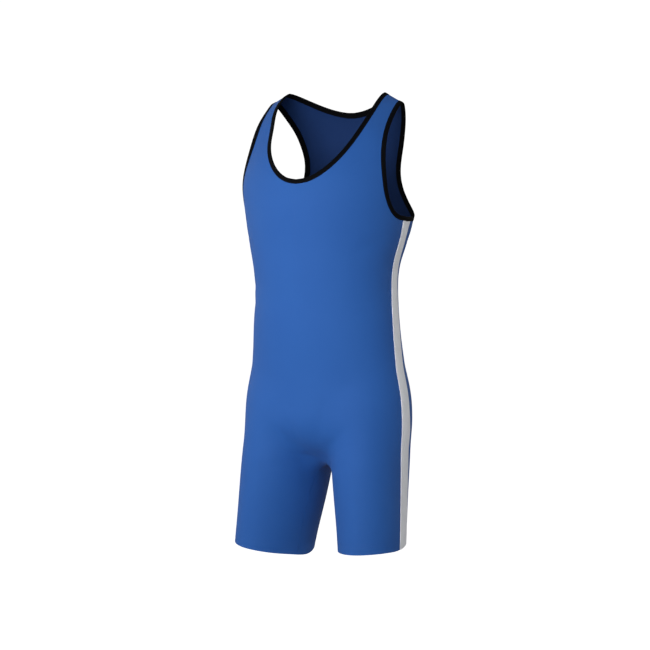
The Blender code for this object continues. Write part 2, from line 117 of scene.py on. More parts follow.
# Where it is: fine rows either way, the column that it starts from, and the columns in which it sets in
UNDERARM_WINDOW = (9, 14, 8)
CROTCH_WINDOW = (12, 44, -12)
FLANK_WINDOW = (22, 20, 12)
INSEAM_EVEN_ROWS = 12
ARCH_MIDDLE = (0.0, -0.055, -0.702)
ARCH_REACH = (0.030, 0.045, 0.024)


def spline(xs, ys):
    """A natural cubic through the points, as a function; xs may run up or down."""
    xs, ys = np.asarray(xs, float), np.asarray(ys, float)
    if xs[0] > xs[-1]:
        xs, ys = xs[::-1], ys[::-1]
    count, step = len(xs), np.diff(xs)
    left, right = np.eye(count), np.zeros(count)
    slope = np.diff(ys) / step
    for i in range(1, count - 1):
        left[i, i - 1 : i + 2] = step[i - 1], 2 * (step[i - 1] + step[i]), step[i]
        right[i] = 6 * (slope[i] - slope[i - 1])
    bend = np.linalg.solve(left, right)

    def curve(at):
        at = np.clip(np.asarray(at, float), xs[0], xs[-1])
        i = np.clip(np.searchsorted(xs, at) - 1, 0, count - 2)
        before, after, h = at - xs[i], xs[i + 1] - at, step[i]
        cubic = (bend[i] * after**3 + bend[i + 1] * before**3) / (6 * h)
        start = (ys[i] / h - bend[i] * h / 6) * after
        end = (ys[i + 1] / h - bend[i + 1] * h / 6) * before
        return cubic + start + end

    return curve


def table(names, rows):
    """The columns of a short table, each a smooth curve over the first one."""
    columns = np.array(rows, float).T
    return {name: spline(columns[0], values) for name, values in zip(names.split()[1:], columns[1:])}


TORSO = table(
    "z half_width side_y front back back_square",
    (
        (0.012, 0.1460, -0.002, 0.150, 0.096, 2.60),
        (-0.040, 0.1500, -0.012, 0.150, 0.096, 2.60),
        (-0.080, 0.1580, -0.018, 0.150, 0.097, 2.60),
        (-0.120, 0.1655, -0.022, 0.151, 0.099, 2.60),
        (-0.160, 0.1690, -0.025, 0.151, 0.103, 2.60),
        (-0.200, 0.1680, -0.025, 0.151, 0.106, 2.60),
        (-0.240, 0.1635, -0.025, 0.150, 0.105, 2.55),
        (-0.280, 0.1565, -0.030, 0.142, 0.102, 2.45),
        (-0.320, 0.1480, -0.037, 0.133, 0.094, 2.30),
        (-0.380, 0.1445, -0.044, 0.120, 0.090, 2.15),
        (-0.440, 0.1485, -0.047, 0.113, 0.096, 2.10),
        (-0.490, 0.1525, -0.046, 0.107, 0.111, 2.10),
        (-0.540, 0.1580, -0.045, 0.102, 0.122, 2.10),
        (-0.590, 0.1610, -0.045, 0.100, 0.124, 2.15),
        (-0.640, 0.1620, -0.046, 0.100, 0.120, 2.15),
        (-0.710, 0.1620, -0.047, 0.100, 0.116, 2.15),
    ),
)
LEG = table(
    "z centre_x centre_y half_width half_depth",
    (
        (-0.490, 0.0790, -0.031, 0.0740, 0.0930),
        (-0.590, 0.0820, -0.030, 0.0750, 0.1010),
        (-0.630, 0.0840, -0.031, 0.0760, 0.1040),
        (-0.680, 0.0880, -0.035, 0.0760, 0.1070),
        (-0.717, 0.0912, -0.040, 0.0733, 0.1065),
        (-0.783, 0.0985, -0.051, 0.0684, 0.0990),
        (-0.852, 0.1046, -0.062, 0.0650, 0.0934),
        (-0.890, 0.1074, -0.068, 0.0635, 0.0905),
    ),
)
SIDE_BAND = table(
    "z half_width seam_y",
    (
        (-0.230, 0.0150, -0.0250),
        (-0.390, 0.0140, -0.0440),
        (-0.600, 0.0165, -0.0450),
        (-0.710, 0.0190, -0.0480),
        (-0.875, 0.0220, -0.0600),
    ),
)
# Armholes, shoulder to underarm: angle round the section, 90 at the side line, and height
FRONT_ARMHOLE = (
    (63.4, -0.0065),
    (61.1, -0.030),
    (58.6, -0.058),
    (56.7, -0.088),
    (56.1, -0.116),
    (57.4, -0.142),
    (60.1, -0.170),
    (64.0, -0.197),
    (69.5, -0.219),
    (78.0, -0.233),
    (90.0, UNDERARM_Z),
)
BACK_ARMHOLE = (
    (59.8, -0.0065),
    (53.9, -0.024),
    (46.5, -0.044),
    (39.2, -0.066),
    (33.9, -0.090),
    (30.1, -0.115),
    (28.6, -0.140),
    (29.9, -0.165),
    (35.0, -0.190),
    (44.0, -0.211),
    (57.0, -0.227),
    (72.0, -0.236),
    (90.0, UNDERARM_Z),
)


def ridge(x):
    """How far the shoulder line at x lies above its own middle."""
    return -SHOULDER_SLOPE * (x - STRAP_MIDDLE_X)


def slope_share(drop):
    """How much of the shoulder line's slope is left at this depth."""
    return np.clip(1 - drop / SLOPE_FADES_BY, 0, 1) ** 2


def drop_of(x, z):
    """Depth below the sloping shoulder line of a point of the front view."""
    drop = -z
    for _ in range(12):
        drop = np.maximum(slope_share(drop) * ridge(x) - z, 0.0)
    return drop


def squareness(is_front, z):
    """How square the torso's section is: 2 is an oval."""
    return FRONT_SQUARE if is_front else TORSO["back_square"](z)


def torso_point(is_front, angle, drop):
    """A point of the torso's cloth, at an angle round it from the centre line."""
    square = squareness(is_front, -drop)
    reach = FRONT_SHOULDER_REACH if is_front else BACK_SHOULDER_REACH
    over = np.clip(1 - drop / reach, 0, 1)
    depth = TORSO["front" if is_front else "back"](-drop) * (1 - over**2) ** SHOULDER_ROUND
    out = np.clip(np.sin(angle), 0, 1) ** (2 / square)
    forward = np.clip(np.cos(angle), 0, 1) ** (2 / square)
    x = TORSO["half_width"](-drop) * out
    y = TORSO["side_y"](-drop) + (-depth if is_front else depth) * forward
    return np.stack([x, y, slope_share(drop) * ridge(x) - drop], -1)


def angle_at(is_front, x, drop):
    """The angle round the torso at which its cloth lies this far from the centre."""
    width = np.clip(x / TORSO["half_width"](-drop), 0, 1)
    return np.arcsin(width ** (squareness(is_front, -drop) / 2))


def closing(z, top, bottom):
    """Shrinks from 1 at the top to nearly nothing at the bottom, as a dome does."""
    return np.sqrt(1 - np.clip((top - z) / (top - bottom), 0, 0.999) ** 2)


def outside_by(across, along, half_across, half_along, square):
    """How far a point lies outside an oval, measured from the oval's centre."""
    size = np.abs(across / half_across) ** square + np.abs(along / half_along) ** square
    return np.hypot(across, along) * (1 - 1 / np.maximum(size ** (1 / square), 1e-3))


def blended(a, b, width):
    """The nearer of two distances, rounded off where they are alike."""
    share = np.clip(width - np.abs(a - b), 0, None) / width
    return np.minimum(a, b) - share**2 * width / 4


def leg_field(x, y, z):
    """Distance outside the leg on the +X side."""
    dome = closing(-z, -LEG_DOME_FOOT_Z, -LEG_DOME_TOP_Z)
    right, back = x - LEG["centre_x"](z), y - LEG["centre_y"](z)
    across = right * math.cos(TOE_OUT) + back * math.sin(TOE_OUT)
    along = back * math.cos(TOE_OUT) - right * math.sin(TOE_OUT)
    return outside_by(across, along, LEG["half_width"](z) * dome, LEG["half_depth"](z) * dome, 2.0)


def body_field(points):
    """Distance outside the filled-out garment, below the chest."""
    x, y, z = points[..., 0], points[..., 1], points[..., 2]
    back = y - TORSO["side_y"](z)
    is_front = back < 0
    depth = np.where(is_front, TORSO["front"](z), TORSO["back"](z))
    depth = depth * closing(z, SEAT_TOP_Z, SEAT_FLOOR_Z)
    width = TORSO["half_width"](z) * closing(z, SIDES_CLOSE_Z, SEAT_FLOOR_Z)
    square = np.where(is_front, FRONT_SQUARE, TORSO["back_square"](z))
    torso = outside_by(x, back, width, depth, square) + np.clip(SEAT_FLOOR_Z - z, 0, None)
    legs = blended(leg_field(x, y, z), leg_field(-x, y, z), CROTCH_BLEND)
    middle = np.exp(-((x / BLEND_FADES_BY) ** 2))
    return blended(torso, legs, SIDE_BLEND + (CROTCH_BLEND - SIDE_BLEND) * middle)


def on_body(points, free, rounds=12):
    """Points below the chest drawn onto the garment, along the axes that are free."""
    points, reach = points.copy(), 2e-4
    free = free * (points[..., 2:] < BLENDED_BELOW_Z)
    axes = np.eye(3) * reach
    for _ in range(rounds):
        slope = [(body_field(points + e) - body_field(points - e)) / (2 * reach) for e in axes]
        slope = np.stack(slope, -1) * free
        step = body_field(points) / np.maximum((slope**2).sum(-1), 0.05)
        points -= np.clip(step, -0.01, 0.01)[..., None] * slope
    return points


def lengths(points):
    """How far along a line each of its points lies, or each row of points of a grid."""
    steps = np.linalg.norm(np.diff(points, axis=0), axis=-1)
    return np.concatenate([np.zeros_like(steps[:1]), np.cumsum(steps, 0)])


def carried(at, run, values):
    """The values at these lengths along a line, where run is how far along it each value lies."""
    return np.stack([np.interp(at, run, column) for column in values.T], -1)


def unit(vectors):
    """The same directions, one metre long."""
    return vectors / np.linalg.norm(vectors, axis=-1, keepdims=True)


def neckline(is_front):
    """Angle and drop along the neckline, shoulder to centre."""
    share = np.linspace(0, 1, FINE)
    top = float(ridge(STRAP_INNER_X))
    if is_front:
        x = STRAP_INNER_X * np.cos(share * math.pi / 2)
        z = top - FRONT_NECK_DROP * np.sin(share * math.pi / 2)
    else:
        x = STRAP_INNER_X * (1 - share)
        z = top - BACK_NECK_DROP * (1 - (1 - share) ** BACK_NECK_POWER)
    drop = drop_of(x, z)
    return np.stack([angle_at(is_front, x, drop), drop], -1)


def armhole(is_front):
    """Angle and drop along the armhole, shoulder to underarm."""
    angle, z = np.array(FRONT_ARMHOLE if is_front else BACK_ARMHOLE).T
    angle = np.radians(angle)
    angle[0], z[0] = angle_at(is_front, STRAP_OUTER_X, 0.0), ridge(STRAP_OUTER_X)
    place = lengths(np.stack([angle * CHEST_RADIUS, z], -1))
    share = np.linspace(0, place[-1], FINE)
    angle, z = spline(place, angle)(share), spline(place, z)(share)
    x = TORSO["half_width"](z) * np.sin(angle) ** (2 / squareness(is_front, z))
    return np.stack([np.minimum(angle, math.pi / 2), drop_of(x, z)], -1)


def along(is_front, edge, share):
    """Angle and drop at a share of the real length of an edge."""
    run = lengths(torso_point(is_front, *edge.T))
    return carried(share * run[-1], run, edge)


def last_inside(at, near, far, rounds):
    """The last reaches inside the garment, between near ones that are inside and far ones that aren't."""
    for _ in range(rounds):
        middle = (near + far) / 2
        inside = body_field(at(middle)) < 0
        near, far = np.where(inside, middle, near), np.where(inside, far, middle)
    return near


def seat_points(angles):
    """Points of the seat's curve on the centre plane, at angles below the front."""
    towards = np.stack([0 * angles, -np.cos(angles), -np.sin(angles)], -1)

    def at(reach):
        return SEAT_CENTRE + towards * reach[:, None]

    near, far = np.full(len(angles), 0.01), np.full(len(angles), 0.25)
    return at(last_inside(at, near, far, 40))


def torso_row(inner, outer, ease, sag):
    """A fine line across half the torso, as angles and drops."""
    share = np.linspace(0, 1, FINE)
    angle = inner[0] + (outer[0] - inner[0]) * share
    drop = inner[1] + (outer[1] - inner[1]) * (1 - (1 - share) ** ease)
    # The factor brings the curve's lowest place to the sag
    return np.stack([angle, drop + sag * 9.5 * share**3 * (1 - share)], -1)


def torso_rows(is_front, count):
    """Rows from the shoulder to the fork: those that end on the armhole, then those on the side seam."""
    neck, arm = neckline(is_front), armhole(is_front)
    neck_drop, top = along(is_front, neck, 1.0)[1], count["centre_at_underarm_z"]
    rows = []
    for share in np.linspace(0, 1, count["neck"] + 1):
        outer = along(is_front, arm, share * count["neck_share"])
        rows.append(torso_row(along(is_front, neck, share), outer, ROW_EASE, 0.0))
    for share in np.linspace(0, 1, count["arm"] + 1)[1:]:
        outer = along(is_front, arm, count["neck_share"] + (1 - count["neck_share"]) * share)
        inner = (0.0, neck_drop - (top + neck_drop) * share)
        rows.append(torso_row(inner, outer, ROW_EASE, ROW_SAG * share**2))
    for share in np.linspace(0, 1, BODY_ROWS + 1)[1:]:
        inner = (0.0, -(top + (FORK_Z - top) * share))
        outer = (math.pi / 2, -(UNDERARM_Z + (SIDE_AT_FORK_Z - UNDERARM_Z) * share))
        ease = ROW_EASE + (1 - ROW_EASE) * share
        rows.append(torso_row(inner, outer, ease, ROW_SAG * (1 - share) ** 2))
    return rows


def lower_row(is_front, inner, inner_z, outer_z, dip):
    """A fine line round the left leg to the side seam, from a crotch point or the inseam."""
    axis_x, axis_y = LEG["centre_x"](inner_z), LEG["centre_y"](inner_z)
    side = math.atan2(axis_y - SIDE_BAND["seam_y"](outer_z), LEG_RADIUS)
    start, start_x = INSEAM_ANGLE, INSEAM_X
    if inner is not None:
        start, start_x = math.atan2(axis_y - inner[1], -axis_x) % (2 * math.pi), 0.0
    angle = np.linspace(start, side if is_front else side + 2 * math.pi, FINE)[:, None]

    def at(radius):
        x = axis_x + radius * np.cos(angle)
        y = axis_y - radius * np.sin(angle)
        share = np.clip((x - start_x) / LEG_ROW_CLIMBS_WITHIN, 0, 1)
        falls = 1 - np.exp(-np.clip(x - start_x, 0, None) / CROTCH_DIP_WITHIN)
        z = inner_z + (outer_z - inner_z) * share - dip * falls * (1 - share) ** 2
        return np.stack([x, y, z], -1)

    # The first place outward along each ray that is outside, short of the centre plane
    first, last, count = 0.03, 0.2, 80
    to_centre = np.minimum(axis_x / np.maximum(-np.cos(angle), 0.01), last)
    reach = np.where(np.cos(angle) < 0, to_centre, last)
    steps = first + (reach - first) * np.linspace(0, 1, count)
    outside = body_field(at(steps)) > 0
    crossed = np.where(outside.any(1), outside.argmax(1), count - 1)[:, None]
    near, far = (np.take_along_axis(steps, np.maximum(crossed - k, 0), 1) for k in (1, 0))
    row = at(last_inside(at, near, far, 20))[:, 0]
    if inner is not None:
        row[0] = inner
    return row


def lower_rows(is_front):
    """Rows from round the hips to round the leg, and on down to the hem."""
    rows = []
    shares = np.linspace(0, 1, SEAT_ROWS + 1)[1:]
    start = 0.0 if is_front else math.pi
    for share, inner in zip(shares, seat_points(start + (CROTCH_SEAM_ANGLE - start) * shares)):
        outer_z = SIDE_AT_FORK_Z + (SIDE_AT_CROTCH_Z - SIDE_AT_FORK_Z) * share
        rows.append(lower_row(is_front, inner, inner[2], outer_z, CROTCH_DIP * share**2))
    crotch_z = rows[-1][0, 2]
    for share in (np.arange(1, LEG_ROWS + 1) / LEG_ROWS) ** LEG_ROW_SPREAD:
        inner_z = crotch_z + (HEM_INNER_Z - crotch_z) * share
        outer_z = SIDE_AT_CROTCH_Z + (HEM_OUTER_Z - SIDE_AT_CROTCH_Z) * share
        rows.append(lower_row(is_front, None, inner_z, outer_z, CROTCH_DIP * (1 - share) ** 2))
    return rows


def in_columns(row, line, band_share):
    """A row's values at the panel's columns along its line: the last three columns edge the side tape."""
    run = lengths(line)
    even = np.linspace(0, 1, COLUMNS + 1)
    band = SIDE_BAND["half_width"](line[-1, 2]) / run[-1]
    banded = np.concatenate([np.linspace(0, 1 - band, COLUMNS - 1), [1 - band / 2, 1.0]])
    return carried((even + (banded - even) * band_share) * run[-1], run, row)


def mirrored(points):
    """The same points on the other side of the centre plane."""
    return points * np.array([-1.0, 1.0, 1.0])


def evened(grid, moves, free):
    """A grid whose points that move are drawn to the middle of their neighbours."""
    for _ in range(SEAT_ROUNDS):
        beside = np.roll(grid, -1, 1)
        beside += np.concatenate([mirrored(grid[:, 1:2]), grid[:, :-1]], 1)
        around = np.roll(grid, 1, 0) + np.roll(grid, -1, 0)
        grid = grid + ((beside + around) / 4 - grid) * SEAT_MOVE * moves
        grid = on_body(grid, free, 2)
    return grid


def relaxed(grid, window):
    """A grid drawn to the middle of its neighbours as far as the window lets it, once."""
    around = np.roll(grid, 1, 0) + np.roll(grid, -1, 0) + np.roll(grid, 1, 1) + np.roll(grid, -1, 1)
    return grid + (around / 4 - grid) * window[..., None]


def window_over(grid, row, rows, column, columns):
    """How far each place of a grid is evened: most at a row, from a column on, or up to it if columns < 0."""
    at_row, at_column = np.mgrid[: grid.shape[0], : grid.shape[1]]
    return np.exp(-(((at_row - row) / rows) ** 2)) * np.clip((at_column - column) / columns, 0, 1)


def cubic(count):
    """Carries even points on to PARTS times as many, on a natural cubic curve."""
    at = np.linspace(0, count - 1, (count - 1) * PARTS + 1)
    return np.stack([spline(range(count), peak)(at) for peak in np.eye(count)], 1)


def finer(grid, corners):
    """The grid split PARTS ways; its first and last columns turn sharply at their corner rows."""
    fine = np.einsum("ai,ijk->ajk", cubic(len(grid)), grid)
    for column, rows in zip((0, -1), corners):
        ends = [0, *rows, len(grid) - 1]
        for a, b in zip(ends, ends[1:]):
            fine[a * PARTS : b * PARTS + 1, column] = cubic(b - a + 1) @ grid[a : b + 1, column]
    return np.einsum("bj,ajk->abk", cubic(grid.shape[1]), fine)


def panel_grid(is_front, count):
    """Rows by columns of the left half of a panel, and the rows where its edges turn."""
    side = count["neck"] + count["arm"]
    flat = np.array(
        [
            in_columns(row, torso_point(is_front, *row.T), min(i / side, 1))
            for i, row in enumerate(torso_rows(is_front, count))
        ]
    )
    fork = len(flat) - 1
    inseam = fork + SEAT_ROWS
    lower = [in_columns(row, row, 1) for row in lower_rows(is_front)]
    grid = np.concatenate([torso_point(is_front, flat[..., 0], flat[..., 1]), lower])

    # Torso rows and both ends of the leg rows keep their height, and the centre line keeps to x = 0
    free = np.ones_like(grid)
    free[: fork + 1, :, 2] = free[-1, :, 2] = free[inseam + 1 :, [0, -1], 2] = 0
    free[: inseam + 1, 0, 0] = 0
    free[inseam, 0] = 0
    grid = on_body(grid, free)
    moves = np.zeros_like(grid)
    top, foot = fork - EVENED_BESIDE, inseam + EVENED_BESIDE
    moves[top:foot, 1:-3] = moves[top:inseam, 0] = 1
    grid = evened(grid, moves, free)

    # The torso's fine points come from their angles, and the rest are drawn onto the body again
    fine = finer(grid, ((count["neck"], inseam), (side,)))
    angles = finer(flat, ((count["neck"],), (side,)))
    window = window_over(angles, (side - 1) * PARTS, *UNDERARM_WINDOW)
    window[:, -1] = 0
    for _ in range(UNDERARM_ROUNDS):
        angles = relaxed(angles, window)
    angles = angles[: (fork - ANGLES_END) * PARTS + 1]
    angles[..., 0] = np.clip(angles[..., 0], 0, math.pi / 2)
    fine[: len(angles)] = torso_point(is_front, angles[..., 0], angles[..., 1])
    turn = inseam * PARTS
    free = np.ones_like(fine)
    free[: turn + 1, 0, 0] = 0
    free[-1, :, 2] = free[turn + 1 :, 0, 2] = free[:, -1, 2] = 0
    fine = on_body(fine, free, 6)

    # The inside leg seam leaves the crotch in an even line, and the cloth round it is evened
    below = np.arange(1, INSEAM_EVEN_ROWS - 1)
    share = (below / INSEAM_EVEN_ROWS)[:, None]
    fine[turn + below, 0] = fine[turn, 0] * (1 - share) + fine[turn + INSEAM_EVEN_ROWS, 0] * share
    window = CROTCH_MOVE * window_over(fine, turn, *CROTCH_WINDOW)
    window[:, 0] = window[-1] = 0
    for _ in range(CROTCH_ROUNDS):
        fine = on_body(relaxed(fine, window), free, 2)
    fine = on_body(fine, free, 6)

    # The flanks run straight over the join of hip and thigh
    window = FLANK_MOVE * window_over(fine, (inseam - 2) * PARTS, *FLANK_WINDOW)
    for _ in range(FLANK_ROUNDS):
        between = (np.roll(fine, 1, 0) + np.roll(fine, -1, 0)) / 2
        fine[1:-1] += ((between - fine) * window[..., None])[1:-1]
    return fine, dict(centre=count["neck"] * PARTS, side=side * PARTS, inseam=turn)


front, front_at = panel_grid(True, FRONT_ROWS)
back, back_at = panel_grid(False, BACK_ROWS)
back[0] = front[0]
back[back_at["side"] :, -1] = front[front_at["side"] :, -1]
back[back_at["inseam"] :, 0] = front[front_at["inseam"] :, 0]


FACING, TURNED = (0, 1, 2, 3), (3, 2, 1, 0)


def squares(grid, order):
    """The corners of a grid's squares, in an order of 0 the place, 1 below, 2 below and beside, 3 beside."""
    corners = [grid[:-1, :-1], grid[1:, :-1], grid[1:, 1:], grid[:-1, 1:]]
    return np.stack([corners[k] for k in order], 2)


def sheet_of(is_front, grid, at):
    """Both halves of a panel as one sheet: its points, quads that face out, and each grid place's point."""
    rows, columns = grid.shape[:2]
    index = np.arange(2 * rows * columns).reshape(2, rows, columns)
    centre = slice(at["centre"], at["inseam"] + 1)
    index[1, centre, 0] = index[0, centre, 0]
    used, place = np.unique(index, return_inverse=True)
    index = place.reshape(index.shape)
    points = np.concatenate([grid.reshape(-1, 3), mirrored(grid).reshape(-1, 3)])[used]
    orders = (FACING, TURNED) if is_front else (TURNED, FACING)
    faces = [squares(half, order).reshape(-1, 4) for half, order in zip(index, orders)]
    return points, np.concatenate(faces), index


def merged(sheets):
    """Every point of the sheets, where each sheet starts, all the faces, and which points are one place."""
    points = np.concatenate([sheet[0] for sheet in sheets])
    sizes = np.cumsum([0] + [len(sheet[0]) for sheet in sheets])
    faces = np.concatenate([sheet[1] + size for sheet, size in zip(sheets, sizes)])
    return points, sizes, faces, np.unique(points.round(7), axis=0, return_inverse=True)[1].ravel()


def edges_of(faces):
    """Both ends of each side of each quad."""
    return np.concatenate([faces[:, [k, (k + 1) % 4]] for k in range(4)])


def soft_at_crotch(sheets):
    """The sheets with the cloth where both legs and both panels meet drawn into one soft arch."""
    points, sizes, faces, same = merged(sheets)
    places = np.zeros((same.max() + 1, 3))
    places[same] = points
    away = np.linalg.norm((places - ARCH_MIDDLE) / ARCH_REACH, axis=1)
    window = ARCH_MOVE * np.exp(-(away**2))
    pairs = same[edges_of(faces)]
    pairs = pairs[window[pairs].min(1) > 1e-3]
    ends, others = np.concatenate([pairs, pairs[:, ::-1]]).T
    count = np.maximum(np.bincount(ends, minlength=len(places)), 1)[:, None]
    for _ in range(ARCH_ROUNDS):
        around = [np.bincount(ends, places[others, k], len(places)) for k in range(3)]
        places += (np.stack(around, 1) / count - places) * window[:, None] * (count > 1)
    return [(places[same[a:b]], *sheet[1:]) for sheet, a, b in zip(sheets, sizes, sizes[1:])]


def merged_normals(sheets):
    """The outward normals of the whole garment, for the points of each sheet in turn."""
    points, sizes, faces, same = merged(sheets)
    corners = points[faces]
    across = np.cross(corners[:, 2] - corners[:, 0], corners[:, 3] - corners[:, 1])
    summed = np.zeros((same.max() + 1, 3))
    for corner in faces.T:
        np.add.at(summed, same[corner], across)
    normals = unit(summed)[same]
    return [normals[a:b] for a, b in zip(sizes, sizes[1:])]


# Where the worn garment leaves the even form, in mm: the middle of each push, how far it reaches, the push
MM_IN_M = 1000
PUSHES = (
    ((-130, -60, -52), 48, (-3.5, -4.5, 0)),
    ((-98, -100, -46), 46, (4, 4, 0)),
    ((130, -70, -80), 42, (0.5, -4.5, 0)),
    ((125, -90, -190), 36, (-2, -3, 0)),
    ((-140, -100, -165), 50, (-3, -4, 0)),
    ((110, 30, -80), 45, (3, 0, 0)),
    ((155, -20, -310), 60, (-5.5, 0, 0)),
    ((158, -30, -236), 30, (0, 0, 3.5)),
    ((-158, -30, -236), 30, (0, 0, 3.5)),
    ((-150, -80, -875), 55, (0, 0, 7)),
    ((-118, -130, -880), 48, (0, 0, 7)),
    ((-45, -60, -885), 38, (2.5, 0, -6)),
    ((35, -90, -780), 60, (-2.2, -1, 0)),
    ((150, -90, -875), 50, (0, 0, -7)),
    ((-25, -30, -780), 65, (7, 0, 0)),
)
LEAN_Z, LEAN_REACH, LEAN = -0.250, 0.085, -0.0048


def pushed(points):
    """The points moved by the pushes, and the chest leant a little to the garment's right."""
    moved = points.copy()
    moved[:, 0] += LEAN * np.exp(-(((points[:, 2] - LEAN_Z) / LEAN_REACH) ** 2))
    for middle, reach, push in PUSHES:
        away = np.linalg.norm(points - np.array(middle) / MM_IN_M, axis=1) / (reach / MM_IN_M)
        moved += np.exp(-(away**2))[:, None] * (np.array(push) / MM_IN_M)
    return moved


# Its soft troughs and ridges, in mm: three points of each one's line, half its width, and its height
CREASES = (
    ((-34, -112, -672), (-6, -96, -684), (22, -92, -696), 7.5, 1),
    ((20, -100, -680), (50, -130, -655), (95, -142, -615), 12, -2.2),
    ((-18, -100, -680), (-46, -130, -650), (-85, -142, -622), 13, -2.6),
    ((12, -120, -660), (28, -142, -620), (40, -146, -575), 10, -1.2),
    ((-14, -118, -662), (-30, -142, -625), (-38, -146, -590), 9, -1.4),
    ((38, -100, -700), (62, -136, -700), (92, -144, -686), 9, -1),
    ((-36, -100, -702), (-60, -136, -705), (-100, -144, -700), 10, -1.2),
    ((-142, -60, -352), (-120, -110, -362), (-75, -150, -358), 9, -1),
    ((-146, -50, -385), (-126, -110, -398), (-90, -140, -402), 11, -1.1),
    ((146, -60, -372), (130, -105, -380), (96, -138, -378), 10, -0.9),
    ((150, -80, -262), (126, -118, -276), (96, -140, -296), 10, -1.1),
    ((-150, -80, -262), (-130, -116, -280), (-104, -136, -306), 11, -1),
    ((0, 70, -75), (2, 80, -180), (0, 60, -330), 26, -4.2),
    ((148, 0, -268), (124, 40, -284), (86, 62, -310), 11, -1.3),
    ((-150, 0, -262), (-120, 44, -272), (-80, 66, -292), 10, -1.2),
    ((120, 10, -372), (75, 36, -386), (18, 46, -380), 12, -1.6),
    ((-126, 6, -392), (-80, 34, -404), (-30, 46, -396), 13, -1.5),
    ((90, 34, -424), (50, 50, -432), (6, 54, -424), 10, -1),
    ((18, 60, -668), (60, 74, -676), (120, 52, -660), 14, -1.3),
    ((-16, 60, -664), (-56, 74, -674), (-112, 56, -664), 15, -1.4),
    ((22, 50, -694), (60, 70, -706), (104, 60, -700), 11, -0.7),
    ((-24, 50, -696), (-62, 70, -710), (-100, 60, -708), 12, -0.6),
)


def creased(points, skin):
    """How far out the creases push each point; their lines are first laid onto the skin."""
    out = np.zeros(len(points))
    t = np.linspace(0, 1, 25)[:, None]
    for *ends, half_width, height in CREASES:
        a, b, c = np.array(ends) / MM_IN_M
        line = a * (1 - t) ** 2 + (b * 4 - a - c) * t * (1 - t) + c * t**2
        line = skin[[np.linalg.norm(skin - place, axis=1).argmin() for place in line]]
        away = np.linalg.norm(points[:, None] - line, axis=2)
        fades = np.sin(math.pi * np.clip(t[away.argmin(1), 0], 0.04, 0.96)) ** 0.8
        reach = away.min(1) / (half_width / MM_IN_M)
        out += height / MM_IN_M * fades * np.exp(-(reach**2))
    return out


sheets = [sheet_of(True, front, front_at), sheet_of(False, back, back_at)]
sheets = [(pushed(points), faces, index) for points, faces, index in soft_at_crotch(sheets)]
normals = merged_normals(sheets)
skin = np.concatenate([sheet[0] for sheet in sheets])
sheets = [(p + n * creased(p, skin)[:, None], *rest) for (p, *rest), n in zip(sheets, normals)]
normals = merged_normals(sheets)


def in_stance(points):
    """The points with the left leg's drawn up and the right leg's let down."""
    share = np.clip((HEM_STEP_TOP_Z - points[:, 2]) / (HEM_STEP_TOP_Z - HEM_INNER_Z), 0, 1)
    moved = points.copy()
    moved[:, 2] += np.sign(points[:, 0]) * share * HEM_STEP / 2
    return moved


def new_piece(name, points, faces, finish, slot):
    """A mesh piece of the garment, with its finish."""
    mesh = bpy.data.meshes.new(name)
    mesh.from_pydata(in_stance(points).tolist(), [], faces)
    mesh.materials.append(finish.material)
    mesh.shade_smooth()
    obj = bpy.data.objects.new(name, mesh)
    bpy.context.scene.collection.objects.link(obj)
    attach(obj, "root")
    return obj


def mapped(piece, name, uv):
    """Gives a piece its UV map from where its points lie on the flat cloth, in metres."""
    corners = np.zeros(len(piece.data.loops), int)
    piece.data.loops.foreach_get("vertex_index", corners)
    piece.data.uv_layers.new(name=name).data.foreach_set("uv", uv[corners].ravel())


def shaded(piece):
    """Shades a piece smooth but for its sharp edges."""
    bpy.ops.object.select_all(action="DESELECT")
    piece.select_set(True)
    bpy.context.view_layer.objects.active = piece
    bpy.ops.object.shade_smooth_by_angle(angle=math.radians(60))


class Sum:
    """A shader value; sums of these add their Math nodes."""

    def __init__(self, tree, socket):
        self.tree, self.socket = tree, socket

    def maths(self, operation, *values):
        node = self.tree.nodes.new("ShaderNodeMath")
        node.operation = operation
        for socket, value in zip(node.inputs, values):
            if isinstance(value, Sum):
                self.tree.links.new(value.socket, socket)
            else:
                socket.default_value = value
        return Sum(self.tree, node.outputs[0])

    def __add__(self, other):
        return self.maths("ADD", self, other)

    def __sub__(self, other):
        return self.maths("SUBTRACT", self, other)

    def __rsub__(self, other):
        return self.maths("SUBTRACT", other, self)

    def __mul__(self, other):
        return self.maths("MULTIPLY", self, other)

    def __truediv__(self, other):
        return self.maths("DIVIDE", self, other)

    def __pow__(self, other):
        return self.maths("POWER", self, other)

    __radd__, __rmul__ = __add__, __mul__

    def sine(self):
        return self.maths("SINE", self)

    def size(self):
        return self.maths("ABSOLUTE", self)

    def part(self):
        return self.maths("FRACT", self)


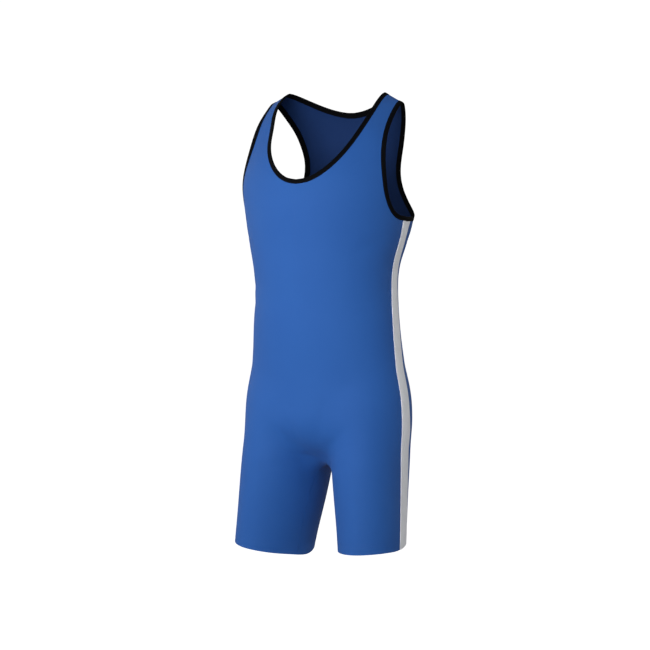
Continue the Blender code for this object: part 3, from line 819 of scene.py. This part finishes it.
class Finish:
    """A material whose nodes are added one at a time."""

    def __init__(self, name, **constants):
        self.material = bpy.data.materials.new(name)
        self.material.use_nodes = True
        self.tree = self.material.node_tree
        self.shader = self.tree.nodes["Principled BSDF"]
        for socket, value in constants.items():
            self.shader.inputs[socket.replace("_", " ")].default_value = value

    def node(self, kind, sockets=(), out=0, **settings):
        """Adds a node with its settings, then its sockets' values and links, and gives one output."""
        node = self.tree.nodes.new("ShaderNode" + kind)
        for name, value in settings.items():
            setattr(node, name, value)
        for name, value in dict(sockets).items():
            if isinstance(value, Sum):
                self.tree.links.new(value.socket, node.inputs[name])
            else:
                node.inputs[name].default_value = value
        return Sum(self.tree, node.outputs[out])

    def along_cloth(self):
        """Metres across and along the cloth, from the piece's UV map."""
        place = self.node("SeparateXYZ", {"Vector": self.node("TexCoord", out="UV")})
        return place, Sum(self.tree, place.socket.node.outputs["Y"])

    def noise(self, scale):
        """Cloudy patches from 0 to 1, this many to the metre."""
        place = self.node("TexCoord", out="Object")
        return self.node("TexNoise", {"Vector": place, "Scale": scale, "Detail": 3.0})

    def feed(self, socket, value):
        self.tree.links.new(value.socket, self.shader.inputs[socket])

    def raised(self, height, depth):
        """Turns a height from 0 to 1 into relief, this many metres deep."""
        self.feed("Normal", self.node("Bump", {"Height": height, "Distance": depth, "Strength": 1.0}))

    def mixed(self, share, a, b):
        """One colour where the share is 0, and the other where it is 1."""
        mix = self.node("Mix", {0: share, 6: (*a, 1), 7: (*b, 1)}, out=2, data_type="RGBA")
        self.feed("Base Color", mix)


def knit(finish, wale, course):
    """The relief of fine jersey: columns of loops that lean to and fro, from 0 to 1."""
    across, along_it = finish.along_cloth()
    lean = ((across / wale).part() - 0.5).size() * 2
    loops = ((along_it / course + lean) * 2 * math.pi).sine() * 0.5 + 0.5
    return loops * 0.55 + (1 - lean**2) * 0.45


RELIEF = 0.00012
# The outside jersey's two blues are mixed by the knit's loops and by cloudy patches. The darker one fills the
# grooves between loops as painted shade and the lighter one their crests as painted light. The patches vary
# the tone at random.
JERSEY_LIT_CREST_AND_PALE_PATCH = (0.024, 0.112, 0.390)
JERSEY_SHADED_GROOVE_AND_DARK_PATCH = (0.016, 0.086, 0.335)
# The inside face is the same jersey painted well under half as bright as the outside, as painted shade for
# the garment's shadowed inside. Its darker blue also fills the grooves between loops as painted shade.
JERSEY_INSIDE_SHADED_PALE = (0.013, 0.040, 0.150)
JERSEY_INSIDE_SHADED_DARK = (0.007, 0.022, 0.080)

jersey = Finish("royal_blue_jersey", Roughness=0.64, Specular_IOR_Level=0.14, Sheen_Weight=0.03)
loops = knit(jersey, 0.0011, 0.0009)
patches = jersey.noise(9.0)
# Painted shade in the knit's grooves, and patches of random tone
jersey.mixed(loops * 0.45 + patches * 0.55, JERSEY_SHADED_GROOVE_AND_DARK_PATCH, JERSEY_LIT_CREST_AND_PALE_PATCH)
jersey.raised(loops, RELIEF)

# The inside faces' finish: the jersey darkened as painted shade
jersey_inside_painted_shade = Finish("royal_blue_jersey_inside", Roughness=0.80, Specular_IOR_Level=0.08)
inside_loops = knit(jersey_inside_painted_shade, 0.0013, 0.0010)
inside_patches = jersey_inside_painted_shade.noise(7.0)
jersey_inside_painted_shade.mixed(inside_loops * 0.5 + inside_patches * 0.5, JERSEY_INSIDE_SHADED_DARK, JERSEY_INSIDE_SHADED_PALE)
jersey_inside_painted_shade.raised(inside_loops, RELIEF)


def walled(outer, inner, faces):
    """A wall between two like sheets, with rounded edges: points, faces, and which of the sheet's each is."""
    count = len(outer)
    pairs, uses = np.unique(np.sort(edges_of(faces), axis=1), axis=0, return_counts=True)
    rim = {tuple(pair) for pair in pairs[uses == 1].tolist()}
    lips, beside = {}, []
    for face in faces.tolist():
        for a, b in zip(face, face[1:] + face[:1]):
            if (min(a, b), max(a, b)) in rim:
                for k in (a, b):
                    lips.setdefault(k, 2 * count + len(lips))
                beside += [[lips[a], lips[b], b, a], [a + count, b + count, lips[b], lips[a]]]
    lip = (outer[list(lips)] + inner[list(lips)]) / 2
    like = np.array([*range(count), *range(count), *lips])
    faces = faces.tolist() + (faces[:, ::-1] + count).tolist() + beside
    return np.concatenate([outer, inner, lip]), faces, like


FLARE = math.radians(38)
FLARE_MIDDLE = (0.136, -0.095, -0.072)
FLARE_REACH = 0.068


def ring_of(parts, column, beside, flare=0.0):
    """A closed ring along raw edges of panels, halves and rows: its points, directions away and normals."""
    parts = [(k, sheets[k][2][half, rows]) for k, half, rows in parts]
    edge = np.concatenate([sheets[k][0][places[:, column]] for k, places in parts])
    cloth = np.concatenate([sheets[k][0][places[:, beside]] for k, places in parts])
    out = np.concatenate([normals[k][places[:, column]] for k, places in parts])
    away = unit(np.cross(np.roll(edge, -1, 0) - np.roll(edge, 1, 0), out))
    away *= np.sign((away * (edge - cloth)).sum())
    # The edge stands off the wearer along the front of the strap
    far = np.linalg.norm(edge * [np.sign(edge[0, 0]), 1, 1] - FLARE_MIDDLE, axis=1) / FLARE_REACH
    turn = flare * np.exp(-(far[:, None] ** 2))
    away, out = away * np.cos(turn) + out * np.sin(turn), out * np.cos(turn) - away * np.sin(turn)
    edge = edge + away * CLOTH_CARRIES_ON
    start = 0
    for k, places in parts:
        sheets[k][0][places[:, column]] = edge[start : start + len(places)]
        start += len(places)
    return edge, away, out


f_neck, b_neck = front_at["centre"], back_at["centre"]
f_side, b_side = front_at["side"], back_at["side"]
front_neck = [(0, 0, np.s_[: f_neck + 1]), (0, 1, np.s_[f_neck - 1 :: -1])]
back_neck = [(1, 1, np.s_[1 : b_neck + 1]), (1, 0, np.s_[b_neck - 1 : 0 : -1])]
neck_ring = ring_of(front_neck + back_neck, 0, 1)
arm_rings = [
    ring_of([(0, half, np.s_[: f_side + 1]), (1, half, np.s_[b_side - 1 : 0 : -1])], -1, -2, FLARE)
    for half in range(2)
]
front_index, back_index = sheets[0][2], sheets[1][2]
sheets[1][0][back_index[:, 0, [0, -1]]] = sheets[0][0][front_index[:, 0, [0, -1]]]
sheets[1][0][back_index[:, b_side, -1]] = sheets[0][0][front_index[:, f_side, -1]]

HEM_TURN = 0.024
HEM_EXTRA = 0.0007
HEM_STEPS_WITHIN = 0.0012
# The knit's columns run down from the centre line, and on the legs down the middle of the thigh
THIGH_LINE_X = 0.090
THIGH_LINE_TOP_Z = -0.500
THIGH_LINE_WITHIN = 0.1
HELD_AT_CENTRE = 0.12
HELD_FADES_BY = 0.08


def panel_piece(name, sheet, out, at):
    """A cloth panel: its edges drawn back at the seams, its hems doubled, and its UV map in metres."""
    points, faces, index = sheet
    trimmed, thick = points.copy(), np.full(len(points), JERSEY_THICK)
    uv = np.zeros((len(points), 2))
    for half, sign in enumerate((1, -1)):
        for seam, beside in (
            (index[half, at["side"] :, -1], index[half, at["side"] :, -2]),
            (index[half, at["inseam"] + 1 :, 0], index[half, at["inseam"] + 1 :, 1]),
        ):
            trimmed[seam] += unit(points[beside] - points[seam]) * SEAM_GAP / 2
        path = points[index[half]]
        up = lengths(path[::-1])[::-1]
        thick[index[half]] += HEM_EXTRA * np.clip((HEM_TURN - up) / HEM_STEPS_WITHIN, 0, 1)
        x, z = abs(path[..., 0]), path[:, :1, 2]
        across = lengths(path.swapaxes(0, 1)).T + x[:, :1]
        thigh = np.array([np.interp(THIGH_LINE_X, *row) for row in zip(x, across)])[:, None]
        share = np.clip((THIGH_LINE_TOP_Z - z) / THIGH_LINE_WITHIN, 0, 1)
        leg = np.clip((path[at["inseam"], 0, 2] - z) / HELD_FADES_BY, 0, 1)
        held = np.clip(1 - across / HELD_AT_CENTRE, 0, 1) * (1 - leg)
        across += (THIGH_LINE_X - thigh) * share**2 * (3 - 2 * share) * (1 - held)
        uv[index[half]] = np.stack([across * sign, path[..., 2]], -1)
    *wall, like = walled(trimmed, trimmed - out * thick[:, None], faces)
    cloth = new_piece(name, *wall, jersey, "blue_jersey")
    mapped(cloth, "cloth", uv[like])
    # The inside faces take the jersey painted darker as shade
    cloth.data.materials.append(jersey_inside_painted_shade.material)
    inward = np.zeros(len(cloth.data.polygons), int)
    inward[len(faces) : 2 * len(faces)] = 1
    cloth.data.polygons.foreach_set("material_index", inward)
    shaded(cloth)
    return cloth


front_cloth = panel_piece("front_cloth", sheets[0], normals[0], front_at)
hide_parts("front_panel")
back_cloth = panel_piece("back_cloth", sheets[1], normals[1], back_at)
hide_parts("back_panel")

# The folded elastic bindings round the neck and the armholes. Each is one black tape, folded over the raw
# edge of the jersey and sewn through with a single row near its inner edge.
BINDING_WIDTH = 0.0080
BINDING_OVER_OUTSIDE = 0.0010
BINDING_OVER_INSIDE = 0.0032
BINDING_PROUD = 0.0008
BINDING_STITCH_AT = 0.0010
BINDING_STITCH_HEIGHT = 0.66

binding = Finish("black_folded_elastic", Roughness=0.75, Specular_IOR_Level=0.04)
ribs_across, ribs_along = binding.along_cloth()
ribs = ((ribs_along / 0.0012) * 2 * math.pi).sine() * 0.5 + 0.5
weave = ((ribs_across / 0.0009) * 2 * math.pi).sine() * 0.5 + 0.5
# The tape is painted darker in the troughs of its ribs and weave: painted shade on top of their relief
binding.mixed(ribs * 0.5 + weave * 0.5, (0.0006, 0.0007, 0.0011), (0.0034, 0.0036, 0.0048))
binding.raised(ribs * 0.6 + weave * 0.4, RELIEF)


def binding_profile():
    """The folded tape's section, as places away from the cloth's edge and above it."""
    top, under = BINDING_PROUD, -JERSEY_THICK - BINDING_PROUD
    half, clear, corner, slot_end = (top - under) / 2, 0.00005, 0.0004, 0.0006
    # Each face dips where the row of stitches pulls it in
    groove = (BINDING_STITCH_AT, BINDING_STITCH_HEIGHT)
    face = ((0.0004, 0.96), groove, (0.0016, 0.96), (BINDING_WIDTH * 0.6, 1.08))
    profile = [(-BINDING_OVER_OUTSIDE, clear), (-BINDING_OVER_OUTSIDE, top * 0.6)]
    profile += [(-BINDING_OVER_OUTSIDE + corner, top)] + [(away, top * share) for away, share in face]
    for angle in np.radians(np.linspace(80, -80, 8)):
        fold = BINDING_WIDTH - half + half * math.cos(angle)
        profile.append((fold, (top + under) / 2 + half * math.sin(angle)))
    profile += [(away, -JERSEY_THICK - top * share) for away, share in face[::-1]]
    profile += [(-BINDING_OVER_INSIDE + corner, under), (-BINDING_OVER_INSIDE, under + top * 0.4)]
    profile += [(-BINDING_OVER_INSIDE, -JERSEY_THICK - clear), (slot_end, -JERSEY_THICK - clear)]
    return np.array(profile + [(slot_end, clear)])


def binding_piece(name, node, edge, away, out):
    """One ring of folded tape round a raw edge."""
    profile = binding_profile()
    points = np.concatenate([edge + away * a + out * b for a, b in profile])
    count, sides = len(edge), len(profile)
    turned = np.dot(np.cross(np.roll(edge, -1, 0) - edge, away)[0], out[0]) > 0
    order = (1, 2, 3, 0) if turned else (0, 3, 2, 1)
    place = np.pad(np.arange(sides * count).reshape(sides, count), (0, 1), "wrap")
    tape = new_piece(name, points, squares(place, order).reshape(-1, 4).tolist(), binding, "black_binding")
    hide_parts(node)
    run, around = (lengths(np.concatenate([line, line[:1]])) for line in (edge, profile))
    uv = squares(np.stack(np.meshgrid(around, run, indexing="ij"), -1), order)
    tape.data.uv_layers.new(name="tape").data.foreach_set("uv", uv.ravel())
    shaded(tape)


binding_piece("neck_tape", "neck_binding", *neck_ring)
for side_name, arm_ring in zip(("left", "right"), arm_rings):
    binding_piece(f"armhole_tape_{side_name}", f"armhole_binding_{side_name}", *arm_ring)

# The white side tapes. A flat knitted tape is laid over each side seam from the underarm to the hem, where
# it widens over the thigh, and sewn down along both edges.
TAPE_LIFT = 0.0002
TAPE_THICK = 0.0008
TAPE_STEPS = 4
TAPE_TOP_ROWS = 24
TAPE_OFF_ARMHOLE = 0.0012

tape = Finish("white_knitted_tape", Roughness=0.60, Sheen_Weight=0.10, Sheen_Roughness=0.5)
grain = knit(tape, 0.0012, 0.0010)
# The tape is painted darker in the grooves of its knit: painted shade on top of the relief
tape.mixed(grain * 0.6 + 0.2, (0.820, 0.845, 0.910), (0.930, 0.940, 0.970))
tape.raised(grain, RELIEF)


def beside_seam(points, out, half_widths):
    """Points and normals at even steps along rows, from the seam out to the tape's half width."""
    taken = []
    for line, up, half_width in zip(points, out, half_widths):
        at = np.linspace(0, 1, TAPE_STEPS + 1) * half_width
        taken.append([carried(at, lengths(line), values) for values in (line, up)])
    return np.swapaxes(np.array(taken), 0, 1)


def half_tape(k, half, start):
    """One panel's half of a tape, in rows from the seam outwards: its points and normals."""
    points, out, index = sheets[k][0], normals[k], sheets[k][2][half]
    rows = index[start:, ::-1]
    half_widths = SIDE_BAND["half_width"](points[rows[:, 0], 2])
    below = beside_seam(points[rows], out[rows], half_widths)
    # The top end is cut to the curve of the armhole, and tucked against its binding
    rim, inner = (index[start - TAPE_TOP_ROWS : start + 1, column][::-1] for column in (-1, -3))
    back_off = points[inner] - points[rim]
    back_off[0] = points[rows[2, 0]] - points[rows[0, 0]]
    cut = points[rim] + unit(back_off) * TAPE_OFF_ARMHOLE
    top = beside_seam(cut[None], out[rim][None], half_widths[:1])
    shares = np.array([0.0, 0.34, 0.67])[:, None, None]
    return np.concatenate([top + (below[:, 3:4] - top) * shares, below[:, 3:]], 1)


side_tapes = []
for half, side_name in enumerate(("left", "right")):
    front_half, back_half = half_tape(0, half, f_side), half_tape(1, half, b_side)
    strip, out = np.concatenate([front_half[:, :, ::-1], back_half[:, :, 1:]], 2)
    out = unit(out)
    rows, columns = strip.shape[:2]
    place = np.arange(rows * columns).reshape(rows, columns)
    faces = squares(place, TURNED if half else FACING).reshape(-1, 4)
    flat_points, flat_out = strip.reshape(-1, 3), out.reshape(-1, 3)
    lower, upper = (flat_points + flat_out * lift for lift in (TAPE_LIFT, TAPE_LIFT + TAPE_THICK))
    *wall, like = walled(upper, lower, faces)
    band = new_piece(f"side_tape_{side_name}", *wall, tape, "white_tape")
    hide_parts(f"side_band_{side_name}")
    across = lengths(strip.swapaxes(0, 1)).T
    mapped(band, "tape", np.stack([across, strip[..., 2]], -1).reshape(-1, 2)[like])
    shaded(band)
    side_tapes.append((strip, out))

# The rows of stitches: a twin row round each hem, one along each binding and along both edges of each side
# tape, and one beside each seam. Each stitch is a short length of polyester thread that dips into the cloth.
STITCH_LENGTH = 0.0026
STITCH_PITCH = 0.0034
THREAD_RADIUS = 0.00028
HEM_ROWS_AT = (HEM_TURN - 0.0020, HEM_TURN - 0.0075)
TAPE_ROW_INSET = 0.0018
SEAM_ROW_INSET = 0.0022


def thread(name, colour, specular):
    """Polyester thread of one colour."""
    return Finish(name, Base_Color=(*colour, 1), Roughness=0.6, Specular_IOR_Level=specular)


blue_thread = thread("blue_thread", (0.020, 0.098, 0.350), 0.15)
black_thread = thread("black_thread", (0.008, 0.008, 0.010), 0.15)
white_thread = thread("white_thread", (0.800, 0.820, 0.870), 0.2)

bpy.ops.object.select_all(action="DESELECT")
bpy.ops.mesh.primitive_uv_sphere_add(segments=6, ring_count=5, radius=1.0)
one_stitch = bpy.context.object
bpy.ops.transform.rotate(value=math.pi / 2, orient_axis="Y", center_override=(0, 0, 0))
bpy.ops.object.transform_apply(location=False, rotation=True, scale=False)
stitch_points = np.array([v.co for v in one_stitch.data.vertices])
# Blender lists a sphere's faces in another order each time
stitch_faces = sorted(list(face.vertices) for face in one_stitch.data.polygons)
bpy.data.objects.remove(one_stitch)


def stitches(name, rows, finish, slot):
    """Stitches laid along rows of points, with the cloth's normals."""
    points, faces = [], []
    for path, out in rows:
        run = lengths(path)
        count = int(run[-1] / STITCH_PITCH)
        for middle in (np.arange(count) + 0.5) * run[-1] / count:
            a, b = carried(middle + np.array([-1, 1]) * STITCH_LENGTH / 2, run, path)
            up = unit(carried(middle, run, out)) * THREAD_RADIUS
            along_it = (b - a) / 2
            across = unit(np.cross(up, along_it)) * THREAD_RADIUS
            dip = (0.35 - 0.75 * stitch_points[:, :1] ** 2) * up
            base = len(points) * len(stitch_points)
            points.append((a + b) / 2 + stitch_points @ [along_it, across, up] + dip)
            faces += [[k + base for k in face] for face in stitch_faces]
    return new_piece(name, np.concatenate(points), faces, finish, slot)


def level_line(height, half):
    """A closed line round a leg, this far up the cloth from its hem, and its normals."""
    line, up = [], []
    for (points, _, index), out, turn in zip(sheets, normals, (1, -1)):
        for places in index[half, ::-1].T[::turn]:
            run = lengths(points[places])
            line.append(carried(height, run, points[places]))
            up.append(carried(height, run, out[places]))
    return np.array(line), np.array(up)


hem_rows = [level_line(height, half) for half in range(2) for height in HEM_ROWS_AT]
hem_stitches = stitches("hem_stitches", hem_rows, blue_thread, "blue_jersey")

binding_rows = []
for edge, away, out in [neck_ring, *arm_rings]:
    row = edge + away * BINDING_STITCH_AT + out * (BINDING_PROUD * BINDING_STITCH_HEIGHT)
    binding_rows.append([np.concatenate([line, line[:1]]) for line in (row, out)])
stitches("binding_stitches", binding_rows, black_thread, "black_binding")

tape_rows = []
for strip, out in side_tapes:
    for column, beside in ((0, 1), (-1, -2)):
        row = strip[:, column] + unit(strip[:, beside] - strip[:, column]) * TAPE_ROW_INSET
        tape_rows.append((row + out[:, column] * (TAPE_LIFT + TAPE_THICK), out[:, column]))
stitches("tape_stitches", tape_rows, white_thread, "white_tape")

seam_rows = []
for half in range(2):
    for (points, _, index), out, at in zip(sheets, normals, (front_at, back_at)):
        inside_leg = index[half, at["inseam"] + 1 :].T
        for seam, beside in (inside_leg[:2], index[half, :2]):
            row = points[seam] + unit(points[beside] - points[seam]) * SEAM_ROW_INSET
            seam_rows.append((row, out[seam]))
seam_stitches = stitches("seam_stitches", seam_rows, blue_thread, "blue_jersey")

# The studio: a plain pale floor well below the garment, lit through from below, white walls under a dimmer
# ceiling, a narrow soft lamp in front at chest height, and a wide one off to the garment's right.
FLOOR_Z = -1.45

bpy.ops.object.select_all(action="DESELECT")
bpy.ops.mesh.primitive_plane_add(size=60, location=(0, 0, FLOOR_Z))
floor = bpy.context.object
floor.name = "pale_floor"
floor.visible_diffuse = floor.visible_glossy = False
paper = Finish("pale_floor", Roughness=0.9, Emission_Color=(1, 1, 1, 1), Emission_Strength=0.7)
paper.mixed(paper.noise(1.5), (0.86, 0.86, 0.86), (0.88, 0.88, 0.88))
floor.data.materials.append(paper.material)

world = bpy.data.worlds.new("white_studio")
world.use_nodes = True
walls, wires = world.node_tree.nodes, world.node_tree.links
height = walls.new("ShaderNodeSeparateXYZ")
wires.new(walls.new("ShaderNodeTexCoord").outputs["Generated"], height.inputs["Vector"])
lifted = walls.new("ShaderNodeMapRange")
wires.new(height.outputs["Z"], lifted.inputs["Value"])
lifted.inputs["From Min"].default_value, lifted.inputs["From Max"].default_value = -0.2, 0.8
ramp = walls.new("ShaderNodeValToRGB")
wires.new(lifted.outputs["Result"], ramp.inputs["Fac"])
ramp.color_ramp.elements.new(0.15)
ramp.color_ramp.elements.new(0.30)
greys = ((0.14, 0.25), (0.15, 1.0), (0.30, 1.0), (0.42, 0.36))
for stop, (place, grey) in zip(ramp.color_ramp.elements, greys):
    stop.position, stop.color = place, (grey, grey, grey, 1)
wires.new(ramp.outputs["Color"], walls["Background"].inputs["Color"])
walls["Background"].inputs["Strength"].default_value = 1.05
bpy.context.scene.world = world
bpy.context.scene.view_settings.view_transform = "Standard"


def soft_lamp(name, place, aim, width, watts, spread):
    """A square lamp turned to its aim, which the camera doesn't see."""
    bpy.ops.object.light_add(type="AREA", location=place)
    lamp = bpy.context.object
    lamp.name = name
    lamp.data.shape = "SQUARE"
    lamp.data.size, lamp.data.energy, lamp.data.spread = width, watts, math.radians(spread)
    lamp.visible_camera = False
    x, y, z = np.array(place) - aim
    lamp.rotation_euler = (math.atan2(math.hypot(x, y), z), 0, math.atan2(x, -y))


soft_lamp("key_lamp", (0.06, -2.00, -0.24), (0, 0, -0.32), 0.9, 4.1, 62)
soft_lamp("fill_lamp", (-3.0, -1.6, 0.4), (0, 0, -0.45), 1.4, 26, 180)

# The photograph's camera, fitted to the garment's outline
CAMERA_TARGET = np.array([-0.0222, -0.0113, -0.4405])
CAMERA_AROUND = math.radians(27)
CAMERA_ABOVE = math.radians(5.5)
CAMERA_AWAY = 3.6
level = math.cos(CAMERA_ABOVE)
towards = np.array(
    [math.sin(CAMERA_AROUND) * level, -math.cos(CAMERA_AROUND) * level, math.sin(CAMERA_ABOVE)]
)
turned = (math.pi / 2 - CAMERA_ABOVE, 0, CAMERA_AROUND)
bpy.ops.object.camera_add(location=CAMERA_TARGET + towards * CAMERA_AWAY, rotation=turned)
camera = bpy.context.object
camera.name = "photo_camera"
camera.data.lens = 102.2
camera.data.sensor_width = 36
bpy.context.scene.camera = camera
